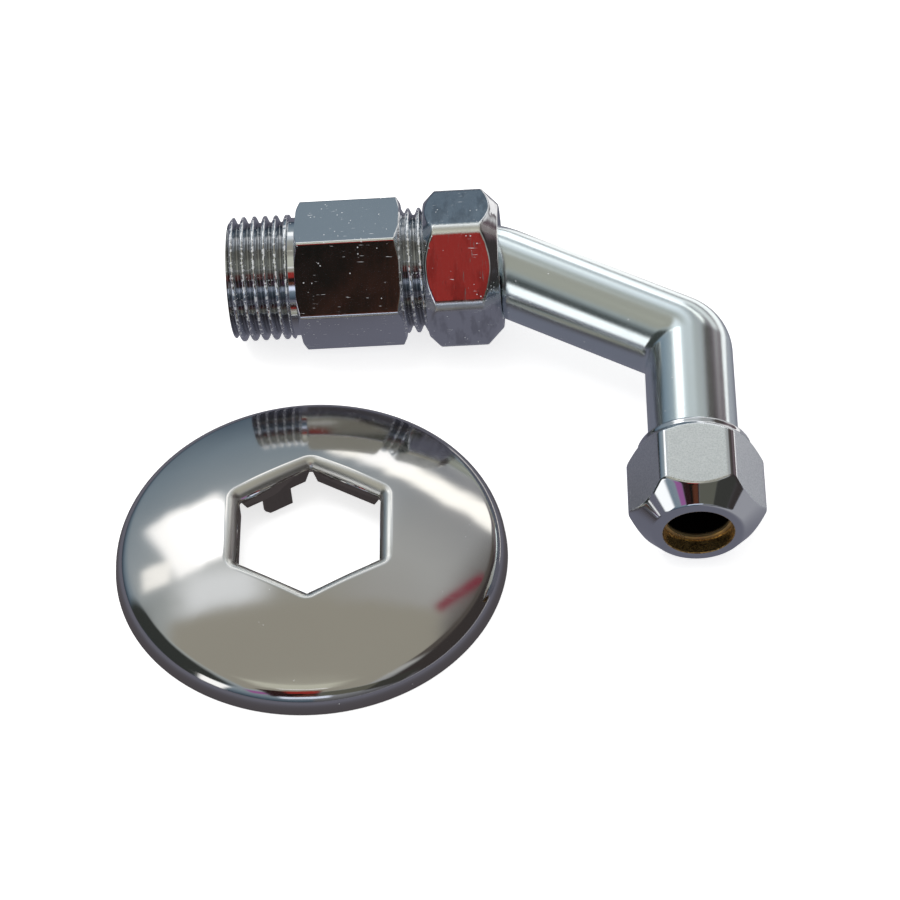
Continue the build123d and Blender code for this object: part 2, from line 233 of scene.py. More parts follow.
class ELBOW_PG_rosette(PropertyGroup):
    """Sizes of the pressed wall rosette."""

    sheet: length("Sheet", "Thickness of the pressed sheet", 0.6)
    crown: length("Crown", "Height of the dome's crown above the table", 9.8)
    rim_height: length("Rim height", "Height at which the rim's slope meets the dome", 3.74)
    rim_lean: length("Rim lean", "How far the rim leans in over that height", 0.4)
    shoulder: length("Shoulder", "Rounding between the rim and the dome", 3.7)
    hole: length("Hole", "Width of the hexagonal hole across its flats", 22.695)
    corner: length("Hole corner", "Rounding of the hole's corners", 0.8)
    lip: length("Lip rounding", "Rounding of the lip around the hole", 1.9)
    lip_wall: length("Lip wall", "Thickness of the wall around the hole", 1.0)
    lip_depth: length("Lip depth", "Depth of the lip's lower edge below the crown", 2.9)
    flange: length("Flange", "Length of the flanges under the lip", 2.0)
    flange_lean: turn("Flange lean", "How far the flanges lean in", 5.0)
    flange_gap: length("Flange gap", "Space left at each end of a flange", 1.0)
    tab_width: length("Spring tab", "Width of a spring tab", 5.0)
    tab_foot: length("Tab foot", "Height of the tab's foot above the table", 1.6)
    tab_offset: length("Tab offset", "Distance of a tab from the middle of its side", 0.1)
    facing: turn("Facing", "How far the hole is turned on the table", 0.3)


class ELBOW_PG_finish(PropertyGroup):
    """Colours and roughnesses of the finishes."""

    chrome: tone("Chrome", "Bright chrome plating", 0.70, 0.72, 0.745)
    satin: tone("Satin chrome", "Chrome over the cast body", 0.80, 0.885, 0.915)
    steel: tone("Rosette", "Chromed and brushed sheet", 0.70, 0.69, 0.68)
    brass: tone("Brass", "Bare turned brass", 0.80, 0.56, 0.22)
    speck: tone("Specks", "Dust and pits that catch the light", 0.85, 0.87, 0.9)
    # This tone is painted shade, laid into the thread roots and into the elbow's bore.
    recess_shade: tone("Recess shade", "Painted shade in the thread roots and the elbow's bore", 0.05, 0.052, 0.06)
    polish: share("Polish", "Roughness of the polished flats", 0.05)
    satin_roughness: share("Satin", "Roughness of the cast body", 0.18)
    ground: share("Ground flats", "Roughness of the ground flats of the end nut", 0.3)


class ELBOW_PG_stage(PropertyGroup):
    """Camera, table and room."""

    target: FloatVectorProperty(
        name="Target",
        description="Point on the table that the camera looks at",
        default=(1.583 * MM, 6.217 * MM, 0.0),
        subtype="TRANSLATION",
        unit="LENGTH",
        size=3,
    )
    distance: length("Distance", "Distance of the camera from its target", 577.5)
    azimuth: turn("Azimuth", "How far the camera stands round to the right", 2.31)
    elevation: turn("Elevation", "How far the camera looks down", 48.25)
    roll: turn("Roll", "Tilt of the camera about its own axis", -2.984)
    lens: FloatProperty(name="Lens", description="Focal length, in millimetres", default=140.0)
    sensor: FloatProperty(name="Sensor", description="Sensor width, in millimetres", default=36.0)
    table: tone("Table", "What polished metal sees of the table", 0.165, 0.165, 0.205)
    # Painted shade: the table's tone near the rosette, as metal sees it.
    under: tone("Under the rosette", "What metal sees of the table there", 0.075, 0.065, 0.066)
    white: tone("Backdrop", "White backdrop", 1.0, 1.0, 1.0)


GROUPS = {
    "nipple": ELBOW_PG_nipple,
    "union": ELBOW_PG_union,
    "tube": ELBOW_PG_tube,
    "end_nut": ELBOW_PG_end_nut,
    "rosette": ELBOW_PG_rosette,
    "finish": ELBOW_PG_finish,
    "stage": ELBOW_PG_stage,
}


def sizes(name):
    """The property group of that name on the current scene."""
    return getattr(bpy.context.scene, "elbow_" + name)


class Line:
    """A straight axis of the fitting, with the two directions across it."""

    def __init__(self, origin, along, across):
        self.origin = np.array(origin)
        self.along = np.array(along.normalized())
        level = (across - along.normalized() * across.dot(along.normalized())).normalized()
        self.across = np.array(level)
        self.up = np.cross(self.along, self.across)

    def places(self, station, radius, angle):
        """Points at a station along the axis, a radius out, at an angle about it."""
        outward = np.cos(angle)[..., None] * self.across + np.sin(angle)[..., None] * self.up
        return self.origin + station[..., None] * self.along + radius[..., None] * outward


def wall_axis():
    """The axis of the nipple and the union nut, from the wall end."""
    mount = MOUNTS["wall_thread"]
    along = -Vector(mount["axis"])
    leg = Vector(MOUNTS["pipe_socket"]["axis"])
    origin = Vector(mount["pos_m"]) - along * THREAD_MOUNT_STATION
    return Line(origin, along, -leg)


def leg_axis():
    """The axis of the leg and the compression nut, from the second bend's corner."""
    mount = MOUNTS["pipe_socket"]
    along = Vector(mount["axis"])
    origin = Vector(mount["pos_m"]) - along * SOCKET_MOUNT_STATION
    return Line(origin, along, -Vector(MOUNTS["wall_thread"]["axis"]))


def soft_lower(first, second, blend):
    """The lower of two values, rounded over where they cross."""
    mix = np.clip(0.5 + 0.5 * (second - first) / blend, 0, 1)
    return second + (first - second) * mix - blend * mix * (1 - mix)


def soft_higher(first, second, blend):
    """The higher of two values, rounded over where they cross."""
    return -soft_lower(-first, -second, blend)


def smooth(low, high, value):
    """A soft step from 0 at low to 1 at high."""
    x = np.clip((value - low) / (high - low), 0, 1)
    return x * x * (3 - 2 * x)


def beside_flat(angle, facing):
    """How far an angle is from the middle of a hexagon's nearest flat."""
    return np.mod(angle - facing + SIXTH / 2, SIXTH) - SIXTH / 2


def flat_reach(size):
    """The angle from the middle of a flat to where its rounded corner starts."""
    half = size.flats / 2
    return math.atan((half - size.corner) * math.tan(SIXTH / 2) / half)


def hexagon_radius(angle, size, facing):
    """How far a rounded hexagon reaches at an angle, one flat facing the given way."""
    half = size.flats / 2
    off = beside_flat(angle, facing)
    centre = (half - size.corner) / math.cos(SIXTH / 2)
    swing = SIXTH / 2 - np.abs(off)
    rest = size.corner**2 - (centre * np.sin(swing)) ** 2
    arc = centre * np.cos(swing) + np.sqrt(np.maximum(rest, 0))
    return np.where(np.abs(off) > flat_reach(size), arc, half / np.cos(off))


def hexagon_tip(size):
    """How far a rounded hexagon reaches at its corners."""
    return hexagon_radius(np.array([SIXTH / 2]), size, 0.0)[0]


def hexagon_angles(facing, corner_reach):
    """Angles about a hexagon, closer together at its corners."""
    near = np.linspace(-corner_reach, corner_reach, CORNER_STEPS, endpoint=False)
    far = np.linspace(corner_reach, SIXTH - corner_reach, FLAT_STEPS, endpoint=False)
    one = np.concatenate([near, far]) + SIXTH / 2
    return np.concatenate([one + SIXTH * side for side in range(6)]) + facing


def rounded_outline(corners, step):
    """A closed outline through corners of (station, radius, rounding), in small steps."""
    points = []
    count = len(corners)
    for index, (station, radius, rounding) in enumerate(corners):
        here = np.array([station, radius])
        before = np.array(corners[index - 1][:2]) - here
        after = np.array(corners[(index + 1) % count][:2]) - here
        room = min(np.linalg.norm(before), np.linalg.norm(after)) * 0.49
        before /= np.linalg.norm(before)
        after /= np.linalg.norm(after)
        cut = min(rounding, room)
        if cut < 1e-6:
            points.append(here)
            continue
        for share_along in np.linspace(0, 1, EDGE_STEPS):
            start = here + before * cut
            end = here + after * cut
            one = start + (here - start) * share_along
            two = here + (end - here) * share_along
            points.append(one + (two - one) * share_along)
    dense = []
    for index, point in enumerate(points):
        following = points[(index + 1) % len(points)]
        parts = max(1, int(np.linalg.norm(following - point) / step))
        for part in range(parts):
            dense.append(point + (following - point) * part / parts)
    return np.array(dense)


def hexagon_edge(angle, size, facing):
    """How near an angle is to a hexagon's edge: 1 on it, 0 beside it."""
    reach = flat_reach(size)
    return smooth(reach - EDGE_BLUR, reach + EDGE_BLUR, np.abs(beside_flat(angle, facing)))


def mesh_object(name, points, faces):
    """A smooth mesh object from points and faces."""
    mesh = bpy.data.meshes.new(name)
    mesh.from_pydata([tuple(point) for point in points], [], faces)
    mesh.validate()
    mesh.polygons.foreach_set("use_smooth", [True] * len(mesh.polygons))
    piece = bpy.data.objects.new(name, mesh)
    bpy.context.collection.objects.link(piece)
    return piece


def face_outward(piece):
    """Turns every face of a closed piece to the outside."""
    shape = bmesh.new()
    shape.from_mesh(piece.data)
    bmesh.ops.recalc_face_normals(shape, faces=shape.faces)
    shape.to_mesh(piece.data)
    shape.free()


def ring_faces(rows, columns):
    """Faces of a grid that closes on itself both ways."""
    faces = []
    for row in range(rows):
        here, below = row * columns, (row + 1) % rows * columns
        for column in range(columns):
            beside = (column + 1) % columns
            faces.append((here + column, here + beside, below + beside, below + column))
    return faces


def paint(piece, name, values):
    """Stores one number for each point of a piece, for its material to read."""
    layer = piece.data.attributes.new(name, "FLOAT", "POINT")
    layer.data.foreach_set("value", np.clip(np.asarray(values, float), 0, 1))


def turned_piece(name, line, outline, angles, shape):
    """A piece turned about a line, whose radius a shape function then changes."""
    station = np.repeat(outline[:, 0:1], len(angles), axis=1)
    radius = np.repeat(outline[:, 1:2], len(angles), axis=1)
    angle = np.repeat(angles[None, :], len(outline), axis=0)
    radius = shape(station, radius, angle)
    points = line.places(station, radius, angle).reshape(-1, 3)
    piece = mesh_object(name, points, ring_faces(len(outline), len(angles)))
    face_outward(piece)
    return piece, station.ravel(), radius.ravel(), angle.ravel()


def thread_ridge(station, angle, pitch, phase):
    """Depth of a right-hand thread as a share: 0 on its crest, 1 in its root."""
    place = np.mod(station / pitch - angle / TURN - phase, 1)
    slope = 1 - np.abs(2 * place - 1)
    return smooth(0.12, 0.88, slope) * 0.7 + np.clip((slope - 0.15) / 0.7, 0, 1) * 0.3


def nipple_stations(size):
    """Where the nipple's hexagon starts, where it ends and where the nipple ends."""
    hex_start = size.wall_thread + size.neck_length
    hex_end = hex_start + size.hexagon
    return hex_start, hex_end, hex_end + size.union_thread


def nipple_outline(size):
    """The nipple's outline, with fewer points where nothing changes along it."""
    major = size.thread / 2
    bore = size.bore / 2
    hex_start, hex_end, end = nipple_stations(size)
    tip = hexagon_tip(size)
    edge = NIPPLE_EDGE
    corners = [
        (0, bore, edge * 2),
        (0, major - size.lead, edge),
        (size.lead, major, edge),
        (size.wall_thread, major, edge),
        (size.wall_thread + edge, size.neck / 2, edge),
        (hex_start, size.neck / 2, edge),
        (hex_start, tip - 2 * size.chamfer, edge),
        (hex_start + size.chamfer, tip, edge),
        (hex_end - size.chamfer, tip, edge),
        (hex_end, tip - 2 * size.chamfer, edge),
        (hex_end, major, edge / 2),
        (end - size.lead, major, edge),
        (end, major - size.lead, edge),
        (end, bore, edge * 2),
    ]
    outline = rounded_outline(corners, size.pitch / THREAD_STEPS)
    station, radius = outline.T
    plain = (station > hex_start + 4 * size.chamfer) & (station < hex_end - 4 * size.chamfer)
    inside = radius < bore + edge
    spare = (plain | inside) & (np.arange(len(outline)) % THINNED > 0)
    return outline[~spare]


def make_nipple():
    """The nipple with its two threads, its neck and its hexagon."""
    size = sizes("nipple")
    major = size.thread / 2
    edge = NIPPLE_EDGE
    run_out = 0.5 * size.pitch
    facing = math.pi - size.facing
    hex_start, hex_end, _ = nipple_stations(size)

    def shape(station, radius, angle):
        grip = hexagon_radius(angle, size, facing)
        on_hexagon = (station > hex_start - edge) & (station < hex_end + edge)
        radius = np.where(on_hexagon, soft_lower(radius, grip, GRIP_BLEND), radius)
        phase = np.where(station > hex_end, size.union_phase, size.phase)
        deep = size.depth * thread_ridge(station, angle, size.pitch, phase)
        wall_fade = 1 - smooth(size.wall_thread - run_out, size.wall_thread, station)
        union_fade = smooth(hex_end, hex_end + run_out, station)
        fade = np.where(station > hex_end, union_fade, wall_fade)
        threaded = (radius > major - size.lead - edge) & (~on_hexagon)
        cut = soft_lower(radius, major - deep * fade, CREST_BLEND)
        return np.where(threaded, cut, radius)

    angles = hexagon_angles(facing, NIPPLE_CORNER_REACH)
    turned = turned_piece("nipple", wall_axis(), nipple_outline(size), angles, shape)
    piece, station, radius, angle = turned
    root = (major - radius) / size.depth
    threaded = (station < size.wall_thread) | (station > hex_end)
    in_bore = radius < size.bore / 2 + edge
    cut = threaded & ~in_bore
    paint(piece, "root", np.where(cut, root, 0))
    paint(piece, "crest", np.where(cut, 1 - 2.5 * root, 0))
    paint(piece, "bare", in_bore)
    paint(piece, "edge", hexagon_edge(angle, size, facing) * (~threaded))
    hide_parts("wall_nipple")
    return piece


def make_union_nut():
    """The union nut with its rounded corners and the cones at both ends."""
    size = sizes("union")
    end = size.start + size.length
    tip = hexagon_tip(size)
    edge = UNION_EDGE
    facing = math.pi - size.facing
    corners = [
        (size.start, size.thread / 2, edge),
        (size.start, size.face / 2, edge),
        (size.start + tip - size.face / 2, tip, edge),
        (end - tip + size.rim / 2, tip, edge),
        (end, size.rim / 2, edge),
        (end, size.mouth / 2, edge),
        (size.web_start + size.web, size.hole / 2, edge),
        (size.web_start, size.hole / 2, edge),
        (size.web_start, size.thread / 2, 0),
    ]

    def shape(station, radius, angle):
        return soft_lower(radius, hexagon_radius(angle, size, facing), edge)

    outline = rounded_outline(corners, NUT_STEP)
    angles = hexagon_angles(facing, NUT_CORNER_REACH)
    piece, _, _, angle = turned_piece("union_nut_shell", wall_axis(), outline, angles, shape)
    paint(piece, "edge", hexagon_edge(angle, size, facing))
    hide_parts("union_nut")
    return piece


def make_end_nut():
    """The compression nut with its back collar, front cone and bare brass hole."""
    size = sizes("end_nut")
    end = size.start + size.length
    tip = hexagon_tip(size)
    cone_start = size.start + size.collar_length
    front = (tip - size.face / 2) / math.tan(size.front_slope)
    nose_at = end - size.hole_depth
    seat_at = nose_at - size.seat_length
    edge = END_NUT_EDGE
    corners = [
        (size.start, size.thread / 2, edge),
        (size.start, size.collar / 2, edge * 2),
        (cone_start, size.collar / 2, edge),
        (cone_start + tip - size.collar / 2, tip, edge),
        (end - front, tip, edge),
        (end, size.face / 2, edge * 2),
        (end, size.hole / 2, edge),
        (nose_at, size.hole / 2, edge / 2),
        (nose_at, size.nose / 2, 0),
        (seat_at, size.seat / 2, 0),
        (seat_at - size.run_out, size.thread / 2, 0),
    ]

    def shape(station, radius, angle):
        gripped = soft_lower(radius, hexagon_radius(angle, size, size.facing), edge)
        return np.where(station > cone_start, gripped, radius)

    outline = rounded_outline(corners, NUT_STEP)
    angles = hexagon_angles(size.facing, NUT_CORNER_REACH)
    turned = turned_piece("end_nut_shell", leg_axis(), outline, angles, shape)
    piece, station, radius, angle = turned
    in_hole = radius < size.hole / 2 + edge * 0.6
    in_thread = (station < size.start + size.length * 0.9) & (radius < size.seat / 2 + edge)
    paint(piece, "bare", in_hole | in_thread)
    grip = hexagon_radius(angle, size, size.facing)
    flat = size.flats / 2 / np.cos(beside_flat(angle, size.facing))
    on_flat = np.abs(radius - flat) < FLAT_TOLERANCE
    off_corner = np.abs(grip - flat) < FLAT_TOLERANCE / 2
    paint(piece, "ground", on_flat & off_corner)
    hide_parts("compression_nut")
    return piece


def stretch(kind, low, high, count, radius):
    """Rings along one stretch of the elbow, after its first."""
    return [(kind, part, radius) for part in np.linspace(low, high, count)[1:]]


def elbow_course():
    """Rings along the elbow: which stretch, how far along it, and the radius there."""
    size = sizes("tube")
    tube, collar, thread = size.diameter / 2, size.collar / 2, size.thread / 2
    bore, socket = size.bore / 2, size.socket / 2
    edge = TUBE_EDGE
    collar_end = size.collar_start + size.collar_length
    thread_start = size.end - size.thread_length
    outside = [
        ("run", size.collar_start, collar - edge),
        ("run", size.collar_start + edge, collar),
        ("run", collar_end - edge, collar),
        ("run", collar_end, collar - edge),
        ("run", collar_end + edge, tube),
        ("run", collar_end + 2 * edge, tube),
        *stretch("run", collar_end + 2 * edge, size.bend_start, 4, tube),
        *stretch("first", 0, 1, 17, tube),
        *stretch("slant", 0, 1, 41, tube),
        *stretch("second", 0, 1, 41, tube),
        *stretch("to_leg", 0, 1, 24, tube),
        ("leg", thread_start + edge, tube),
        ("leg", thread_start + 2 * edge, thread),
        ("leg", size.end - 3 * edge, thread),
        ("leg", size.end, thread - 3 * edge),
    ]
    inside = [
        ("leg", size.end, size.seat_mouth / 2),
        ("leg", size.seat_start, size.seat / 2),
        ("leg", size.seat_start - edge, socket),
        ("leg", SOCKET_INSIDE, socket),
        *stretch("leg", SOCKET_INSIDE, size.socket_stop, 4, socket),
        ("leg", size.socket_stop - edge, bore),
        ("to_leg", 0.9, bore),
        *stretch("to_leg", 0.9, 0, 4, bore),
        *stretch("second", 1, 0, 9, bore),
        *stretch("slant", 1, 0, 9, bore),
        *stretch("first", 1, 0, 7, bore),
        ("run", size.collar_start, bore),
    ]
    return outside + inside


def elbow_places(kind, part, radius, angle, size):
    """Points of one ring in the elbow's own plane: along, across and up from the wall end."""
    inner = -radius * np.cos(angle)
    level = radius * np.sin(angle)
    corner = size.bend_start + size.first_radius * math.tan(FIRST_TURN / 2)
    first_corner = np.array([corner, 0])
    slant = np.array([math.cos(FIRST_TURN), -math.sin(FIRST_TURN)])
    slant_in = np.array([-math.sin(FIRST_TURN), -math.cos(FIRST_TURN)])
    crease = np.full_like(inner, size.crease)
    rounding = soft_higher(size.second_radius - inner, crease, CREASE_BLEND)
    reach = (inner + rounding) * math.tan(SECOND_TURN / 2)
    slant_end = size.slant - reach
    if kind == "run":
        return np.full_like(inner, part), -inner, level
    if kind == "first":
        swing = FIRST_TURN * part
        arm = size.first_radius - inner
        along = size.bend_start + arm * math.sin(swing)
        return along, -size.first_radius + arm * math.cos(swing), level
    if kind == "slant":
        start = size.first_radius * math.tan(FIRST_TURN / 2)
        place = start + (slant_end - start) * part
        flat = first_corner + place[:, None] * slant + inner[:, None] * slant_in
        return flat[:, 0], flat[:, 1], level
    if kind == "second":
        pivot = first_corner + slant_end[:, None] * slant
        pivot = pivot + (inner + rounding)[:, None] * slant_in
        swing = SECOND_TURN * part
        arm = -slant_in * math.cos(swing) + slant * math.sin(swing)
        flat = pivot + rounding[:, None] * arm
        return flat[:, 0], flat[:, 1], level
    place = np.full_like(inner, part)
    if kind == "to_leg":
        last = size.end - size.thread_length
        place = reach + (last - reach) * part
    second_corner = first_corner + slant * size.slant
    return second_corner[0] - inner, second_corner[1] - place, level


def make_elbow():
    """The bent body, with a smooth blend in the crease of its second bend."""
    size = sizes("tube")
    line = wall_axis()
    directions = np.array([line.along, line.across, line.up])
    angles = np.linspace(0, TURN, TUBE_STEPS, endpoint=False)
    course = elbow_course()
    points = []
    for kind, part, radius in course:
        ring = elbow_places(kind, part, np.full_like(angles, radius), angles, size)
        points.append(line.origin + np.column_stack(ring) @ directions)
    faces = ring_faces(len(course), len(angles))
    piece = mesh_object("elbow_tube", np.concatenate(points), faces)
    face_outward(piece)
    inside = [radius < size.seat_mouth / 2 + FLAT_TOLERANCE / 2 for _, _, radius in course]
    paint(piece, "bare", np.repeat(inside, len(angles)))
    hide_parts("elbow_body")
    return piece


def rosette_contour(size):
    """Points and outward directions around the rounded hexagonal hole."""
    half = size.hole / 2
    run = (half - size.corner) * math.tan(SIXTH / 2)
    base = []
    outward = []
    for side in range(6):
        facing = side * SIXTH + size.facing
        normal = np.array([math.cos(facing), math.sin(facing)])
        along = np.array([-normal[1], normal[0]])
        for place in np.linspace(-run, run, HOLE_SIDE_STEPS, endpoint=False):
            base.append(normal * half + along * place)
            outward.append(normal)
        centre = normal * (half - size.corner) + along * run
        for swing in np.linspace(0, SIXTH, HOLE_CORNER_STEPS, endpoint=False):
            direction = np.array([math.cos(facing + swing), math.sin(facing + swing)])
            base.append(centre + direction * size.corner)
            outward.append(direction)
    return np.array(base), np.array(outward)


class Pressing:
    """One side of the pressed sheet: its dome, its rounded shoulder and its rim wall."""

    def __init__(self, size, inset):
        edge = half_width("wall_rosette")
        reach = edge - size.rim_lean
        rise = size.crown - size.rim_height
        self.sphere = (reach**2 + rise**2) / (2 * rise) - inset
        self.top = size.crown - inset - self.sphere
        self.lean = math.atan2(size.rim_lean, size.rim_height)
        self.shoulder = size.shoulder - inset
        self.foot = np.array([edge - inset, 0.0])
        self.centre = self.shoulder_centre(size.rim_height * 2)
        self.tangent = math.atan2(self.centre[1] - self.top, self.centre[0])

    def shoulder_centre(self, high):
        """The middle of the rounding that touches both the rim wall and the dome."""
        across = np.array([math.cos(self.lean), math.sin(self.lean)])
        up = np.array([-math.sin(self.lean), math.cos(self.lean)])
        low = 0.0
        for _ in range(50):
            middle = (low + high) / 2
            centre = self.foot + up * middle - across * self.shoulder
            gap = math.hypot(centre[0], centre[1] - self.top) - (self.sphere - self.shoulder)
            if gap > 0:
                high = middle
            else:
                low = middle
        return centre

    def shoulder_place(self, swing):
        """How far out and how high the shoulder lies at an angle."""
        return self.centre + self.shoulder * np.array([math.cos(swing), math.sin(swing)])

    def dome_row(self, flat):
        """A row of points on the dome, over their places on the table."""
        return table_row(flat, self.top + np.sqrt(self.sphere**2 - (flat**2).sum(axis=1)))

    def rim(self, spokes):
        """Where the dome meets the shoulder, on each spoke."""
        return spokes * (self.sphere * math.cos(self.tangent))


def half_width(node):
    """Half the width of a packed node along X."""
    low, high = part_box(node)
    return (high[0] - low[0]) / 2


def middle_of(node):
    """The middle of a packed node, on the table."""
    low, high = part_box(node)
    return Vector(((low[0] + high[0]) / 2, (low[1] + high[1]) / 2, 0))


def table_row(flat, height):
    """One row of points, from their places on the table and their heights."""
    return np.column_stack([flat, np.broadcast_to(height, len(flat))])


def lip_rows(size, outer, base, outward):
    """Rows up the wall of the hole and over its lip."""
    bottom = size.crown - size.lip_depth
    height = outer.dome_row(base + outward * size.lip)[:, 2]
    rows = []
    for step in np.linspace(0, 1, LIP_WALL_ROWS):
        rows.append(table_row(base, bottom + (height - size.lip - bottom) * step))
    for swing in np.linspace(0, math.pi / 2, LIP_ROWS + 2)[1:-1]:
        flat = base + outward * size.lip * (1 - math.cos(swing))
        rows.append(table_row(flat, height - size.lip * (1 - math.sin(swing))))
    return rows


def outer_rows(outer, start, spokes):
    """Rows from the lip over the dome, round the shoulder and down to the table."""
    rim = outer.rim(spokes)
    rows = [outer.dome_row(start + (rim - start) * step) for step in np.linspace(0, 1, DOME_ROWS)]
    for swing in np.linspace(outer.tangent, outer.lean, SHOULDER_ROWS)[1:]:
        out, height = outer.shoulder_place(swing)
        rows.append(table_row(spokes * out, height))
    wall_top = outer.shoulder_place(outer.lean)
    for step in np.linspace(0, 1, RIM_ROWS)[1:]:
        out, height = wall_top + (outer.foot + np.array([0, RIM_EDGE]) - wall_top) * step
        rows.append(table_row(spokes * out, height))
    return rows + [table_row(spokes * (outer.foot[0] - RIM_EDGE), 0.0)]


def inner_rows(inner, end, spokes):
    """Rows from the table up inside the rim and under the dome, back to the hole."""
    rows = [table_row(spokes * (inner.foot[0] + RIM_EDGE), 0.0)]
    rows.append(table_row(spokes * inner.foot[0], RIM_EDGE))
    for swing in np.linspace(inner.lean, inner.tangent, INNER_SHOULDER_ROWS):
        out, height = inner.shoulder_place(swing)
        rows.append(table_row(spokes * out, height))
    rim = inner.rim(spokes)
    for step in np.linspace(1, 0, INNER_DOME_ROWS)[1:]:
        rows.append(inner.dome_row(end + (rim - end) * step))
    return rows


def make_rosette_shell(size):
    """Points and faces of the dome with its rim, and the share of lip at each point."""
    base, outward = rosette_contour(size)
    far = base + outward * SPREAD
    spokes = far / np.linalg.norm(far, axis=1)[:, None]
    outer = Pressing(size, 0.0)
    ring = base + outward * size.lip_wall
    rows = lip_rows(size, outer, base, outward)
    rows += outer_rows(outer, base + outward * size.lip, spokes)
    rows += inner_rows(Pressing(size, size.sheet), ring, spokes)
    rows.append(table_row(ring, size.crown - size.lip_depth))
    lip = np.zeros((len(rows), len(base)))
    lip[LIP_WALL_ROWS : LIP_WALL_ROWS + LIP_ROWS] = 1
    return np.concatenate(rows), ring_faces(len(rows), len(base)), lip.ravel()


def plate_shape(shape, outline, thickness, place):
    """Adds a thin plate with that outline to a mesh, its edges slightly rounded."""
    front = [shape.verts.new(place @ Vector((0, across, down))) for across, down in outline]
    back = [shape.verts.new(place @ Vector((thickness, across, down))) for across, down in outline]
    faces = [shape.faces.new(front), shape.faces.new(back[::-1])]
    for index in range(len(outline)):
        beside = (index + 1) % len(outline)
        faces.append(shape.faces.new((front[index], back[index], back[beside], front[beside])))
    bmesh.ops.recalc_face_normals(shape, faces=faces)
    edges = dict.fromkeys(edge for face in faces for edge in face.edges)
    bmesh.ops.bevel(shape, geom=list(edges), offset=PLATE_EDGE, segments=2, affect="EDGES")


def flange_outline(size, tabbed):
    """Outline of one flange under the lip, with its spring tab where it has one."""
    side = size.hole * math.tan(SIXTH / 2)
    top = side / 2 - 0.15 * MM
    low = side / 2 - size.flange_gap * 1.2
    overlap = size.sheet
    outline = [(-top, overlap), (top, overlap), (top, 0), (low, -size.flange)]
    if tabbed:
        middle = -size.tab_offset
        half = size.tab_width / 2
        foot = size.crown - size.lip_depth - size.tab_foot
        long = foot / math.cos(size.flange_lean)
        cut = 0.9 * MM
        outline += [
            (middle + half, -size.flange),
            (middle + half, -long + cut),
            (middle + half - cut, -long),
            (middle - half, -long),
            (middle - half, -size.flange),
        ]
    outline += [(-low, -size.flange), (-top, 0)]
    return outline


def make_rosette():
    """The wall rosette: dome, rim, lip, flanges and spring tabs."""
    size = sizes("rosette")
    points, faces, lip = make_rosette_shell(size)
    piece = mesh_object("rosette", points, faces)
    paint(piece, "lip", lip)
    face_outward(piece)
    shape = bmesh.new()
    shape.from_mesh(piece.data)
    lip_bottom = size.crown - size.lip_depth
    for side in range(6):
        spin = Matrix.Rotation(SIXTH * side + size.facing, 4, "Z")
        hang = Matrix.Translation((size.hole / 2, 0, lip_bottom))
        lean = Matrix.Rotation(size.flange_lean, 4, "Y")
        plate_shape(shape, flange_outline(size, side in (2, 5)), size.sheet, spin @ hang @ lean)
    shape.to_mesh(piece.data)
    shape.free()
    piece.data.polygons.foreach_set("use_smooth", [True] * len(piece.data.polygons))
    piece.data.transform(Matrix.Translation(middle_of("wall_rosette")))
    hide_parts("wall_rosette")
    return piece


class Value:
    """A number socket that can be used in Python expressions."""

    def __init__(self, tree, socket):
        self.tree = tree
        self.socket = socket

    def math(self, operation, *others):
        """A Math node with this value first."""
        inputs = dict(enumerate((self,) + others))
        return self.tree.add("ShaderNodeMath", {"operation": operation}, inputs)["Value"]

    def __add__(self, other):
        return self.math("ADD", other)

    def __sub__(self, other):
        return self.math("SUBTRACT", other)

    def __mul__(self, other):
        return self.math("MULTIPLY", other)

    def __truediv__(self, other):
        return self.math("DIVIDE", other)

    def __rsub__(self, other):
        inputs = {0: other, 1: self}
        return self.tree.add("ShaderNodeMath", {"operation": "SUBTRACT"}, inputs)["Value"]

    __radd__ = __add__
    __rmul__ = __mul__

    def step(self, low, high):
        """A soft step of this value, from 0 at low to 1 at high."""
        settings = {"interpolation_type": "SMOOTHSTEP"}
        inputs = {"Value": self, "From Min": low, "From Max": high}
        return self.tree.add("ShaderNodeMapRange", settings, inputs)["Result"]


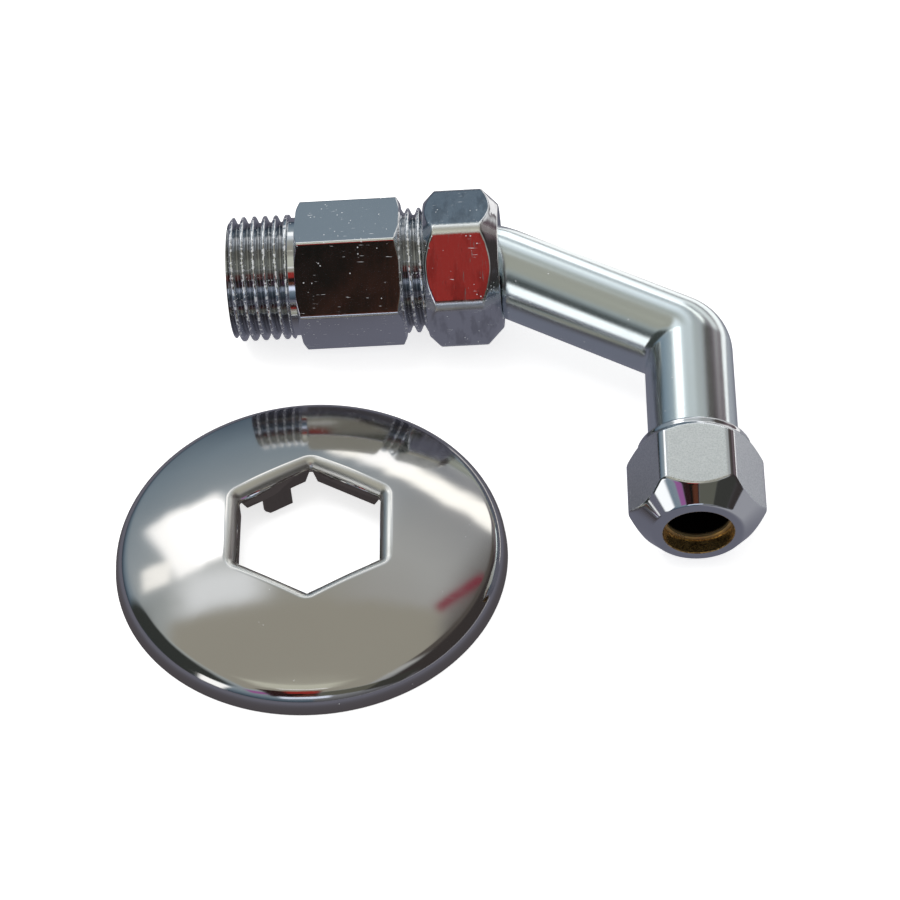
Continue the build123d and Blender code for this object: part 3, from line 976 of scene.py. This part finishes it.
class Tree:
    """A node tree that nodes are added to in one way."""

    def __init__(self, nodes):
        self.nodes = nodes
        nodes.nodes.clear()

    def add(self, kind, settings, inputs):
        """Adds a node, sets it, fills its sockets and gives its outputs by name."""
        node = self.nodes.nodes.new(kind)
        for name, value in settings.items():
            if name == "stops":
                self.set_stops(node.color_ramp, value)
            else:
                setattr(node, name, value)
        for name, value in inputs.items():
            socket = node.inputs[name]
            if isinstance(value, Value):
                self.nodes.links.new(value.socket, socket)
            else:
                socket.default_value = value
        return {out.name: Value(self, out) for out in reversed(node.outputs) if out.enabled}

    @staticmethod
    def set_stops(ramp, stops):
        """Sets a ramp's stops from (place, colour) pairs."""
        while len(ramp.elements) < len(stops):
            ramp.elements.new(1.0)
        for element, (place, colour) in zip(ramp.elements, stops):
            element.position = place
            element.color = (*colour, 1.0)

    def mix(self, amount, first, second):
        """A colour between two colours."""
        inputs = {0: amount, 6: rgba(first), 7: rgba(second)}
        return self.add("ShaderNodeMix", {"data_type": "RGBA"}, inputs)["Result"]

    def noise(self, place, scale, detail=2.0, roughness=0.5):
        """A soft noise from 0 to 1."""
        inputs = {"Vector": place, "Scale": scale, "Detail": detail, "Roughness": roughness}
        return self.add("ShaderNodeTexNoise", {}, inputs)["Fac"]

    def stretched(self, place, turn_by, scale):
        """A place turned and scaled, for marks that run one way."""
        inputs = {"Vector": place, "Rotation": turn_by, "Scale": scale}
        return self.add("ShaderNodeMapping", {}, inputs)["Vector"]

    def bump(self, height, distance, strength=1.0):
        """A normal that is pushed about by a height."""
        inputs = {"Strength": strength, "Distance": distance, "Height": height}
        return self.add("ShaderNodeBump", {}, inputs)["Normal"]

    def object_place(self):
        """Where a point lies on the object, in metres."""
        return self.add("ShaderNodeTexCoord", {}, {})["Object"]

    def painted(self, name):
        """A number stored on the mesh."""
        return self.add("ShaderNodeAttribute", {"attribute_name": name}, {})["Fac"]


def rgba(colour):
    """A colour with a fourth number, unless it is a link."""
    if isinstance(colour, Value):
        return colour
    return (*tuple(colour)[:3], 1.0)


def new_material(name):
    """An empty node material and its tree."""
    material = bpy.data.materials.new(name)
    material.use_nodes = True
    return material, Tree(material.node_tree)


def finish_metal(tree, colour, metallic, roughness, bump=None):
    """Ends a metal material."""
    inputs = {"Base Color": colour, "Metallic": metallic, "Roughness": roughness}
    if bump is not None:
        inputs["Normal"] = bump
    surface = tree.add("ShaderNodeBsdfPrincipled", {}, inputs)["BSDF"]
    tree.add("ShaderNodeOutputMaterial", {}, {"Surface": surface})


def specks(tree, place, scale, size):
    """Small bright specks scattered over a surface."""
    settings = {"voronoi_dimensions": "3D", "feature": "F1"}
    cells = tree.add("ShaderNodeTexVoronoi", settings, {"Vector": place, "Scale": scale})
    near = 1 - cells["Distance"].step(size * 0.5, size)
    thinned = tree.noise(place, scale * 0.31, 1.0).step(0.56, 0.6)
    return near * thinned


def scratches(tree, place, turn_by, amount):
    """Fine scratches that run one way."""
    lines = tree.stretched(place, turn_by, (300.0, 5200.0, 5200.0))
    fine = tree.noise(lines, 1.0, 2.0).step(1 - amount, 1 - amount + 0.05)
    patch = tree.noise(place, 420.0, 1.0).step(0.52, 0.62)
    return fine * patch


def chrome_material(name, folds, roots=False):
    """Bright chrome with waves, folds, specks, scratches and slightly cloudy patches, with painted
    shade in its folds and thread roots and painted highlights on its edges and thread crests.
    """
    finish = sizes("finish")
    material, tree = new_material(name)
    place = tree.object_place()
    clouds = tree.noise(place, 300.0, 4.0, 0.6)
    fine = tree.noise(place, 5200.0, 2.0, 0.7)
    waves = tree.noise(place, 85.0, 1.0, 0.4)
    hammered = tree.stretched(place, (0, 0.1, 0.12), (460.0, 120.0, 120.0))
    across = tree.noise(hammered, 1.0, 3.0, 0.6)
    dots = specks(tree, place, 1300.0, 0.2)
    lines = scratches(tree, place, (0.2, 0.5, 0.9), 0.33)
    marked = (dots + lines).step(0.0, 1.0)
    colour = tree.mix(clouds * 0.3, finish.chrome, (0.58, 0.6, 0.63))
    # Painted shade: dark streaks painted along the folds.
    colour = tree.mix(across.step(0.48, 0.64) * (0.6 * folds), colour, (0.3, 0.3, 0.32))
    if roots:
        # Painted shade: the thread roots are painted darker, in patches.
        root_shade = tree.painted("root").step(0.55, 1.0) * (0.35 + 0.4 * clouds)
        colour = tree.mix(root_shade, colour, finish.recess_shade)
        # Painted highlight: pale specks painted along the thread crests as glints.
        crest_glints = tree.noise(place, 1700.0, 1.0).step(0.5, 0.6)
        marked = marked + tree.painted("crest").step(0.5, 1.0) * crest_glints * 0.8
    bare = tree.painted("bare")
    # Painted highlight: the hexagons' rounded edges are painted a paler chrome, and made rougher
    # too.
    edge = tree.painted("edge") * (0.5 + 0.5 * fine)
    colour = tree.mix(bare, colour, finish.brass)
    colour = tree.mix(edge, colour, (0.95, 0.97, 0.95))
    colour = tree.mix(marked, colour, finish.speck)
    roughness = finish.polish + 0.05 * clouds + 0.03 * fine + 0.25 * bare + 0.3 * edge
    bump = tree.bump((0.3 + folds) * waves + folds * across, 0.16 * MM)
    finish_metal(tree, colour, 1 - 0.85 * marked, roughness, bump)
    return material


def end_nut_material():
    """Chrome with frosted flats and stained bare brass in the hole."""
    finish = sizes("finish")
    material, tree = new_material("end_nut_chrome")
    place = tree.object_place()
    clouds = tree.noise(place, 240.0, 4.0, 0.6)
    grain = tree.noise(place, 3800.0, 3.0, 0.75)
    ground = tree.painted("ground")
    bare = tree.painted("bare")
    colour = tree.mix(clouds * 0.25, finish.chrome, (0.6, 0.62, 0.65))
    frosted = tree.mix(grain.step(0.3, 0.7), (0.72, 0.76, 0.77), (0.96, 0.99, 1.0))
    colour = tree.mix(ground, colour, frosted)
    stained = tree.mix(grain.step(0.4, 0.62), finish.brass, (0.10, 0.04, 0.02))
    colour = tree.mix(bare, colour, stained)
    roughness = finish.polish + 0.04 * clouds + 0.16 * bare
    roughness = roughness + (finish.ground - finish.polish) * ground
    bump = tree.bump(grain * ground, 0.02 * MM, 0.25)
    finish_metal(tree, colour, 1 - 0.25 * bare * clouds, roughness, bump)
    return material


def tube_material():
    """Satin chrome over a casting, with a fine grain."""
    finish = sizes("finish")
    material, tree = new_material("satin_chrome")
    place = tree.object_place()
    clouds = tree.noise(place, 170.0, 5.0, 0.65)
    grain = tree.noise(place, 2600.0, 3.0, 0.7)
    dots = specks(tree, place, 800.0, 0.13)
    bare = tree.painted("bare")
    colour = tree.mix(clouds * 0.35, finish.satin, (0.70, 0.73, 0.72))
    # Painted shade: the elbow's bare inside takes the dark recess tone, as shade in the bore.
    colour = tree.mix(bare, colour, finish.recess_shade)
    colour = tree.mix(dots * 0.8, colour, finish.speck)
    roughness = finish.satin_roughness * (0.55 + 0.5 * clouds + 0.4 * grain)
    bump = tree.bump(grain, 0.02 * MM, 0.12)
    finish_metal(tree, colour, 1 - 0.5 * dots - 0.5 * bare, roughness, bump)
    return material


def rosette_material():
    """Chromed sheet with a light brushing, cloudy patches and a painted highlight on its lip."""
    finish = sizes("finish")
    material, tree = new_material("rosette_chrome")
    place = tree.object_place()
    clouds = tree.noise(place, 90.0, 4.0, 0.6)
    brushed = tree.stretched(place, (0, 0, 0.15), (300.0, 2600.0, 300.0))
    grain = tree.noise(brushed, 1.0, 3.0, 0.7)
    dots = specks(tree, place, 420.0, 0.06)
    colour = tree.mix(clouds * 0.3, finish.steel, (0.6, 0.59, 0.575))
    colour = tree.mix(dots * 0.7, colour, finish.speck)
    # Painted highlight: the lip round the hole is painted a paler chrome, and made rougher too.
    lip = tree.painted("lip")
    colour = tree.mix(lip * 0.7, colour, (0.86, 0.86, 0.83))
    roughness = 0.04 + 0.06 * clouds + 0.04 * grain + 0.24 * lip
    finish_metal(tree, colour, 1 - 0.4 * dots, roughness)
    return material


def brass_material():
    """Bare turned brass, bright at its mouth and painted nearly black deeper in, as painted shade.
    """
    nut = sizes("end_nut")
    leg = leg_axis()
    material, tree = new_material("turned_brass")
    place = tree.object_place()
    clouds = tree.noise(place, 400.0, 4.0, 0.6)
    turned = tree.stretched(place, (0, 0, 0), (200.0, 6000.0, 200.0))
    marks = tree.noise(turned, 1.0, 2.0)
    inputs = {0: place, 1: tuple(leg.along)}
    station = tree.add("ShaderNodeVectorMath", {"operation": "DOT_PRODUCT"}, inputs)["Value"]
    mouth = float(leg.origin.dot(leg.along)) + nut.start + nut.length - nut.hole_depth
    # Painted shade: deeper than the nut's mouth the olive is painted nearly black.
    inside = (mouth - station).step(0.3 * MM, 0.9 * MM)
    colour = tree.mix(clouds * 0.5, (0.93, 0.72, 0.40), (0.62, 0.40, 0.16))
    colour = tree.mix(inside, colour, (0.006, 0.004, 0.004))
    finish_metal(tree, colour, 0.75, 0.2 + 0.1 * marks + 0.08 * clouds)
    return material


def gasket_material():
    """Matt black rubber, a little dusty."""
    material, tree = new_material("gasket_rubber")
    dust = tree.noise(tree.object_place(), 900.0, 4.0, 0.7)
    colour = tree.mix(dust * 0.4, (0.02, 0.02, 0.02), (0.09, 0.09, 0.085))
    finish_metal(tree, colour, 0.0, 0.6 + 0.3 * dust)
    return material


def dress(piece, material):
    """Gives a piece one material all over."""
    piece.data.materials.clear()
    piece.data.materials.append(material)


class ELBOW_OT_nipple(Operator):
    """Make the threaded nipple"""

    bl_idname = "elbow.nipple"
    bl_label = "Nipple"

    def execute(self, context):
        piece = make_nipple()
        dress(piece, chrome_material("nipple_chrome", 0.03, roots=True))
        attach(piece, "root")
        return {"FINISHED"}


class ELBOW_OT_nuts(Operator):
    """Make the union nut and the compression nut"""

    bl_idname = "elbow.nuts"
    bl_label = "Nuts"

    def execute(self, context):
        union = make_union_nut()
        dress(union, chrome_material("union_chrome", 0.7))
        end_nut = make_end_nut()
        dress(end_nut, end_nut_material())
        for piece in (union, end_nut):
            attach(piece, "root")
        return {"FINISHED"}


class ELBOW_OT_tube(Operator):
    """Make the bent elbow body"""

    bl_idname = "elbow.tube"
    bl_label = "Elbow body"

    def execute(self, context):
        piece = make_elbow()
        dress(piece, tube_material())
        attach(piece, "root")
        return {"FINISHED"}


class ELBOW_OT_rosette(Operator):
    """Make the pressed wall rosette"""

    bl_idname = "elbow.rosette"
    bl_label = "Wall rosette"

    def execute(self, context):
        piece = make_rosette()
        dress(piece, rosette_material())
        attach(piece, "root")
        return {"FINISHED"}


class ELBOW_OT_seals(Operator):
    """Finish the olive and the gasket, which keep their own shapes"""

    bl_idname = "elbow.seals"
    bl_label = "Olive and gasket"

    def execute(self, context):
        dress(frame["nodes"]["olive"], brass_material())
        dress(frame["nodes"]["union_gasket"], gasket_material())
        return {"FINISHED"}


# Panels and dark shapes of the room, as the polished metal sees them. The sky is laid
# out flat, straight up in the middle and the horizon 90 degrees out, with the back of
# the room up the page. Each panel has its place across and up that page, its two half
# widths, its turn and the softness of its edge in degrees, then its colour and strength.
ROOM = (
    ("left_shade", -64, -10, 25, 34, 0, 8, (0.04, 0.045, 0.042), 1.0),
    ("right_dusk", 43, 16, 17, 28, -18, 10, (0.10, 0.088, 0.08), 1.0),
    ("right_shade", 66, 0, 25, 52, -8, 10, (0.048, 0.041, 0.04), 1.0),
    ("far_right", 60, 52, 24, 14, -35, 10, (0.16, 0.12, 0.13), 1.0),
    ("far_glow", -6, 42, 15, 9, 0, 12, (0.80, 0.84, 0.87), 1.0),
    ("back_glow", -6, 48, 8, 5, 0, 3, (1.0, 1.0, 0.98), 1.4),
    ("window_glow", -22, 24, 9, 6, 0, 9, (0.95, 0.98, 1.0), 0.95),
    ("window", -26.5, 41, 8, 10, 20, 2.5, (1.0, 1.0, 0.99), 1.5),
    ("window_core", -24, 41, 5, 8, 20, 2, (1.0, 1.0, 1.0), 2.4),
    ("second_window", -35.3, 32, 3.4, 3.4, 0, 1.5, (1.0, 0.99, 0.95), 1.3),
    ("high_wall", 38, 66, 26, 7, -28, 11, (1.0, 1.0, 0.98), 0.9),
    ("cream_wall", 17, 57, 20, 3.2, -29, 2, (1.0, 0.985, 0.93), 1.6),
    ("tall_window", 10, 72, 5, 13, 0, 4, (1.0, 1.0, 1.0), 1.5),
    ("side_window", -60, -49, 10, 11, -50, 4, (1.0, 1.0, 0.99), 1.4),
    ("ceiling", -4, -12, 29, 30, 0, 4, (0.37, 0.355, 0.30), 1.0),
    ("red_edge", 28, 24.5, 8, 1, 53, 0.6, (0.25, 0.012, 0.04), 1.0),
    ("front_glow", -7, -15, 13, 11, 0, 9, (0.62, 0.62, 0.52), 1.0),
    ("front_line", -5, -27, 9, 1.2, 0, 1.5, (1.0, 1.0, 0.97), 1.1),
    ("right_cloth", 46, -53, 16, 12, 0, 4, (0.05, 0.05, 0.045), 1.0),
    ("olive_cloth", 17, -53, 14.5, 10, 0, 4, (0.13, 0.13, 0.105), 1.0),
    ("pink_cloth", -30, -53, 5.5, 5, 0, 3, (0.36, 0.13, 0.34), 1.0),
    ("dark_cloth", -11, -50, 13.5, 14, 0, 3, (0.028, 0.012, 0.012), 1.0),
    ("red_cloth", -5.5, -41.5, 7, 6.5, 0, 3, (0.35, 0.034, 0.028), 1.0),
    ("dark_lens", -9, -52, 5, 3.5, 24, 1.5, (0.004, 0.007, 0.006), 1.0),
    ("brown_cloth", -5.0, -57.25, 6, 4, 28, 0.6, (0.12, 0.039, 0.021), 1.0),
    ("front_light", -5, -67.5, 15, 4.5, 0, 4, (0.78, 0.84, 1.0), 1.2),
)


# The plain tones behind the panels, from the horizon at 0 to straight up at 1
LEFT_TONES = (
    (0.0, (0.035, 0.05, 0.065)),
    (0.08, (0.10, 0.14, 0.185)),
    (0.2, (0.22, 0.28, 0.33)),
    (0.4, (0.36, 0.41, 0.44)),
    (0.62, (0.42, 0.44, 0.42)),
    (0.8, (0.38, 0.37, 0.32)),
    (1.0, (0.36, 0.34, 0.30)),
)
RIGHT_TONES = (
    (0.0, (0.09, 0.09, 0.10)),
    (0.3, (0.3, 0.31, 0.33)),
    (0.6, (0.46, 0.47, 0.46)),
    (1.0, (0.36, 0.34, 0.30)),
)

# How far the room's edges and its plain tones waver, in degrees
EDGE_WAVER = 5.0
TONE_WAVER = 6.0

# Half the table's width, how far its top lies below the object, and how it is lit
TABLE_HALF = 1.5
TABLE_DROP = 0.02 * MM
TABLE_GLOW = 0.72
PLAIN_LIGHT = 0.55

# The soft lamp's power in watts, its width and its place
LAMP_POWER = 4.0
LAMP_WIDTH = 0.7
LAMP_PLACE = (-0.25, 0.2, 0.9)


def wall_tone(tree, bearing, height):
    """The plain tone of the room, from the horizon to the ceiling."""
    raised = {"Fac": height / 90}
    left = tree.add("ShaderNodeValToRGB", {"stops": LEFT_TONES}, raised)["Color"]
    right = tree.add("ShaderNodeValToRGB", {"stops": RIGHT_TONES}, raised)["Color"]
    return tree.mix(bearing.step(-8, 30), left, right)


def ray_kinds(tree):
    """Whether a ray comes from the camera, and whether from a shiny or clear surface."""
    path = tree.add("ShaderNodeLightPath", {}, {})
    shiny = path["Is Glossy Ray"].math("MAXIMUM", path["Is Transmission Ray"])
    return path["Is Camera Ray"], shiny


def choose(tree, amount, first, second):
    """One shader or another, by a factor."""
    return tree.add("ShaderNodeMixShader", {}, {0: amount, 1: first, 2: second})["Shader"]


def background(tree, colour, strength):
    """A plain or varying tone of the room, as light."""
    inputs = {"Color": rgba(colour), "Strength": strength}
    return tree.add("ShaderNodeBackground", {}, inputs)["Background"]


def add_panel(tree, room, across, above, panel):
    """Lays one panel of the room over the tone behind it."""
    _, left, low, half_across, half_above, turned_by, soft, colour, strength = panel
    cosine, sine = math.cos(math.radians(turned_by)), math.sin(math.radians(turned_by))
    beside = ((across - left) * cosine + (above - low) * sine).math("ABSOLUTE")
    beyond = ((above - low) * cosine - (across - left) * sine).math("ABSOLUTE")
    inside = 1 - beside.step(half_across - soft / 2, half_across + soft / 2)
    inside = inside * (1 - beyond.step(half_above - soft / 2, half_above + soft / 2))
    return tree.mix(inside, room, [part * strength for part in colour])


def make_world():
    """White for the camera, a plain light for the table, and the room for metal."""
    stage = sizes("stage")
    world = bpy.data.worlds.new("room")
    world.use_nodes = True
    bpy.context.scene.world = world
    tree = Tree(world.node_tree)
    direction = tree.add("ShaderNodeTexCoord", {}, {})["Generated"]
    split = tree.add("ShaderNodeSeparateXYZ", {}, {"Vector": direction})
    degrees = 360 / TURN
    bearing = split["X"].math("ARCTAN2", split["Y"]) * degrees
    height = split["Z"].math("ARCSINE") * degrees
    level = (split["X"] * split["X"] + split["Y"] * split["Y"]).math("SQRT") + 0.0001
    wobble = tree.noise(direction, 9.0, 3.0, 0.6) - 0.5
    out = 90 - height + wobble * EDGE_WAVER
    across = split["X"] / level * out
    above = split["Y"] / level * out
    room = wall_tone(tree, bearing, height + wobble * TONE_WAVER)
    for panel in ROOM:
        room = add_panel(tree, room, across, above, panel)
    room = tree.mix(height.step(-3, 1), stage.table, room)
    camera, shiny = ray_kinds(tree)
    plain = background(tree, stage.white, PLAIN_LIGHT)
    mirrored = choose(tree, shiny, plain, background(tree, room, 1.0))
    surface = choose(tree, camera, mirrored, background(tree, stage.white, 1.0))
    tree.add("ShaderNodeOutputWorld", {}, {"Surface": surface})


def table_tone(tree):
    """What metal sees of the table: painted shade by the rosette, painted light to the right and
    behind.
    """
    stage = sizes("stage")
    middle = middle_of("wall_rosette")
    rim = half_width("wall_rosette")
    split = tree.add("ShaderNodeSeparateXYZ", {}, {"Vector": tree.object_place()})
    right = split["X"].step(45 * MM, 75 * MM)
    behind = split["Y"].step(52 * MM, 62 * MM) * split["X"].step(14 * MM, 26 * MM)
    pale, bright = (0.42, 0.42, 0.45), (1.15, 1.12, 1.1)
    # Painted light: the table is paler to the right and brighter behind.
    lit = tree.mix(behind, tree.mix(right * 0.9, stage.table, pale), bright)
    off = [split["X"] - middle[0], split["Y"] - middle[1]]
    reach = (off[0] * off[0] + off[1] * off[1]).math("SQRT")
    # Painted shade: near the rosette the table takes the darker tone under it, as its shadow.
    clear = reach.step(rim - 4 * MM, rim + 12 * MM)
    return tree.mix(clear, stage.under, lit)


def make_table():
    """A wide white table that keeps a soft shadow."""
    stage = sizes("stage")
    half = TABLE_HALF
    corners = [(-half, -half, 0), (half, -half, 0), (half, half, 0), (-half, half, 0)]
    table = mesh_object("table", corners, [(0, 1, 2, 3)])
    table.location.z = -TABLE_DROP
    material, tree = new_material("table_top")
    camera, shiny = ray_kinds(tree)
    matt = tree.add("ShaderNodeBsdfDiffuse", {}, {"Color": (0.8, 0.8, 0.8, 1.0)})["BSDF"]
    white = {"Color": rgba(stage.white), "Strength": TABLE_GLOW}
    glow = tree.add("ShaderNodeEmission", {}, white)["Emission"]
    lit = tree.add("ShaderNodeAddShader", {}, {0: matt, 1: glow})["Shader"]
    tinted = tree.add("ShaderNodeEmission", {}, {"Color": table_tone(tree)})["Emission"]
    surface = choose(tree, shiny, choose(tree, camera, matt, lit), tinted)
    tree.add("ShaderNodeOutputMaterial", {}, {"Surface": surface})
    dress(table, material)


def make_lamp():
    """One wide soft lamp over the table, which metal does not mirror."""
    lamp = bpy.data.lights.new("soft_lamp", "AREA")
    lamp.energy = LAMP_POWER
    lamp.size = LAMP_WIDTH
    holder = bpy.data.objects.new("soft_lamp", lamp)
    holder.location = LAMP_PLACE
    holder.rotation_euler = (-holder.location).to_track_quat("-Z", "Y").to_euler()
    holder.visible_glossy = False
    bpy.context.collection.objects.link(holder)


def make_camera():
    """The camera, where the photograph was taken from."""
    stage = sizes("stage")
    azimuth, elevation, roll = stage.azimuth, stage.elevation, stage.roll
    back = Vector(
        (
            math.sin(azimuth) * math.cos(elevation),
            -math.cos(azimuth) * math.cos(elevation),
            math.sin(elevation),
        )
    )
    right = Vector((math.cos(azimuth), math.sin(azimuth), 0))
    up = back.cross(right)
    level = right * math.cos(roll) + up * math.sin(roll)
    above = up * math.cos(roll) - right * math.sin(roll)
    place = Vector(stage.target) + back * stage.distance
    data = bpy.data.cameras.new("camera")
    data.lens = stage.lens
    data.sensor_width = stage.sensor
    data.clip_start = 0.01
    camera = bpy.data.objects.new("camera", data)
    turned = Matrix((level, above, back)).transposed().to_4x4()
    camera.matrix_world = Matrix.Translation(place) @ turned
    bpy.context.collection.objects.link(camera)
    bpy.context.scene.camera = camera


class ELBOW_OT_stage(Operator):
    """Make the table, the room, the lamp and the camera"""

    bl_idname = "elbow.stage"
    bl_label = "Stage"

    def execute(self, context):
        context.scene.view_settings.view_transform = "Standard"
        make_world()
        make_table()
        make_lamp()
        make_camera()
        return {"FINISHED"}


STEPS = (
    ELBOW_OT_nipple,
    ELBOW_OT_nuts,
    ELBOW_OT_tube,
    ELBOW_OT_rosette,
    ELBOW_OT_seals,
    ELBOW_OT_stage,
)


class ELBOW_PT_panel(Panel):
    """The steps and the sizes, in the sidebar"""

    bl_idname = "ELBOW_PT_panel"
    bl_label = "Union elbow"
    bl_space_type = "VIEW_3D"
    bl_region_type = "UI"
    bl_category = "Elbow"

    def draw(self, context):
        for step in STEPS:
            self.layout.operator(step.bl_idname)
        for name, group in GROUPS.items():
            box = self.layout.box()
            box.label(text=group.__doc__)
            for size in group.__annotations__:
                box.prop(getattr(context.scene, "elbow_" + name), size)


CLASSES = tuple(GROUPS.values()) + STEPS + (ELBOW_PT_panel,)


def register():
    """Registers the classes and gives the scene its settings."""
    for entry in CLASSES:
        bpy.utils.register_class(entry)
    for name, group in GROUPS.items():
        setattr(bpy.types.Scene, "elbow_" + name, PointerProperty(type=group))


def unregister():
    """Takes the settings and the classes away again."""
    for name in GROUPS:
        delattr(bpy.types.Scene, "elbow_" + name)
    for entry in reversed(CLASSES):
        bpy.utils.unregister_class(entry)


def main():
    """Runs every step."""
    register()
    bpy.ops.elbow.nipple()
    bpy.ops.elbow.nuts()
    bpy.ops.elbow.tube()
    bpy.ops.elbow.rosette()
    bpy.ops.elbow.seals()
    bpy.ops.elbow.stage()


if __name__ == "__main__":
    main()
